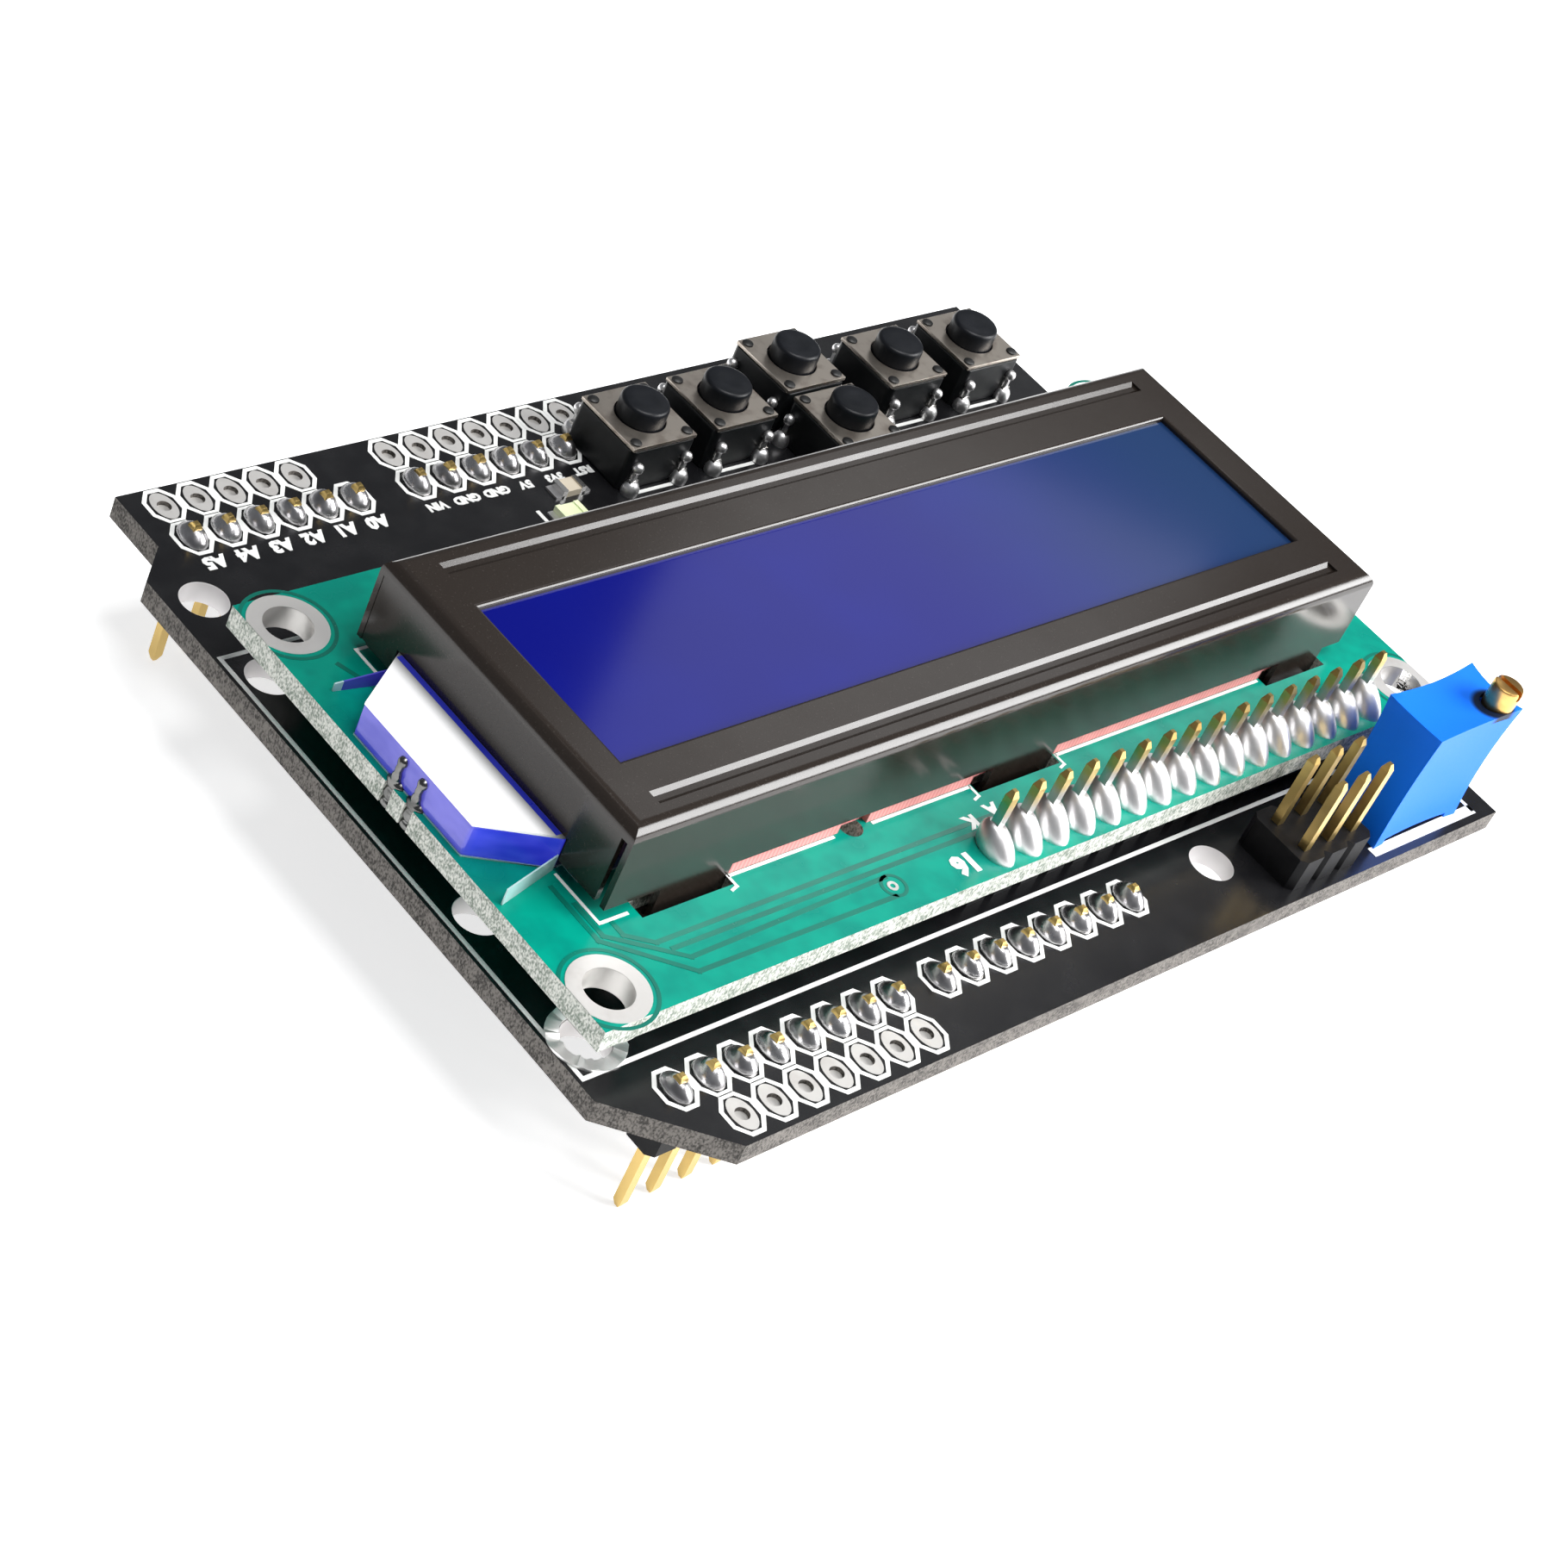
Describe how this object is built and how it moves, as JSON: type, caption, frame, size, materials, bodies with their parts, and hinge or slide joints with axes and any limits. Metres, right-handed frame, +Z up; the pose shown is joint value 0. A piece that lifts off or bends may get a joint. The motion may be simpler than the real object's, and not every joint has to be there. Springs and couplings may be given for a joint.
{
  "type": "lcd keypad shield",
  "caption": "Stackable circuit board with a framed character display raised above it, a row of push buttons, a contrast trimmer and plug-in pin headers underneath.",
  "frame": {"origin": "middle of the shield board's outline, on the plane of the header pins' tips", "axes": "+Z up through the display; +X along the long side towards the backlight's nose; +Y towards the display's pin row"},
  "size_m": [0.08, 0.058, 0.0217],
  "materials": {
    "black_board": "glossy black solder mask over glass-fibre board",
    "green_board": "glossy teal green solder mask over glass-fibre board",
    "black_sheet": "black painted sheet steel, satin",
    "polariser": "smooth deep blue film",
    "cell_glass": "clear glass plates",
    "pink_rubber": "pale pink silicone rubber",
    "light_guide": "milky translucent moulding",
    "white_sheet": "white sheet",
    "pale_film": "thin pale film",
    "header_plastic": "black moulded plastic",
    "gold_pins": "gold plated square pins",
    "solder": "bright solder",
    "tinned_metal": "tinned strip",
    "black_resin": "glossy black resin",
    "blue_plastic": "blue moulded plastic",
    "brass": "turned brass",
    "key_plastic": "black moulded plastic",
    "key_cover": "stamped plate, satin",
    "key_plunger": "black moulded plastic",
    "spring_steel": "thin sprung sheet",
    "lamp_resin": "pale clear resin",
    "resistor": "ceramic chip with tinned ends"
  },
  "bodies": {
    "shield": {"shield_board": "black_board", "display_board": "green_board", "bezel": "black_sheet", "polariser": "polariser", "front_glass": "cell_glass", "rear_glass": "cell_glass", "contact_strips": "pink_rubber", "light_guide": "light_guide", "diffuser_sheet": "white_sheet", "backlight_film": "pale_film", "backlight_leads": "tinned_metal", "chip_blobs": "black_resin", "trimmer_body": "blue_plastic", "trimmer_pins": "tinned_metal", "programming_base": "header_plastic", "programming_pins": "gold_pins", "display_base": "header_plastic", "display_pins": "gold_pins", "display_solder": "solder", "snap_domes": "spring_steel", "power_lamp": "lamp_resin", "lamp_resistor": "resistor", "digital_low_base": "header_plastic", "digital_low_pins": "gold_pins", "digital_low_solder": "solder", "digital_high_base": "header_plastic", "digital_high_pins": "gold_pins", "digital_high_solder": "solder", "analog_base": "header_plastic", "analog_pins": "gold_pins", "analog_solder": "solder", "power_base": "header_plastic", "power_pins": "gold_pins", "power_solder": "solder", "select_key_housing": "key_plastic", "select_key_cover": "key_cover", "select_key_legs": "tinned_metal", "left_key_housing": "key_plastic", "left_key_cover": "key_cover", "left_key_legs": "tinned_metal", "up_key_housing": "key_plastic", "up_key_cover": "key_cover", "up_key_legs": "tinned_metal", "down_key_housing": "key_plastic", "down_key_cover": "key_cover", "down_key_legs": "tinned_metal", "right_key_housing": "key_plastic", "right_key_cover": "key_cover", "right_key_legs": "tinned_metal", "reset_key_housing": "key_plastic", "reset_key_cover": "key_cover", "reset_key_legs": "tinned_metal"},
    "select_button": {"select_key_plunger": "key_plunger"},
    "left_button": {"left_key_plunger": "key_plunger"},
    "up_button": {"up_key_plunger": "key_plunger"},
    "down_button": {"down_key_plunger": "key_plunger"},
    "right_button": {"right_key_plunger": "key_plunger"},
    "reset_button": {"reset_key_plunger": "key_plunger"},
    "contrast_screw": {"trimmer_screw": "brass"}
  },
  "joints": [
    {"name": "select_press", "type": "slide", "parent": "shield", "child": "select_button", "axis": [0, 0, -1], "range_m": [0, 0.00025], "stiffness_N_per_m": 2000, "springref_m": -0.0005},
    {"name": "left_press", "type": "slide", "parent": "shield", "child": "left_button", "axis": [0, 0, -1], "range_m": [0, 0.00025], "stiffness_N_per_m": 2000, "springref_m": -0.0005},
    {"name": "up_press", "type": "slide", "parent": "shield", "child": "up_button", "axis": [0, 0, -1], "range_m": [0, 0.00025], "stiffness_N_per_m": 2000, "springref_m": -0.0005},
    {"name": "down_press", "type": "slide", "parent": "shield", "child": "down_button", "axis": [0, 0, -1], "range_m": [0, 0.00025], "stiffness_N_per_m": 2000, "springref_m": -0.0005},
    {"name": "right_press", "type": "slide", "parent": "shield", "child": "right_button", "axis": [0, 0, -1], "range_m": [0, 0.00025], "stiffness_N_per_m": 2000, "springref_m": -0.0005},
    {"name": "reset_press", "type": "slide", "parent": "shield", "child": "reset_button", "axis": [0, 0, -1], "range_m": [0, 0.00025], "stiffness_N_per_m": 2000, "springref_m": -0.0005},
    {"name": "contrast_turn", "type": "hinge", "parent": "shield", "child": "contrast_screw", "pos_m": [-0.03499, 0.02656, 0.02017], "axis": [0, 0, 1], "continuous": true}
  ]
}
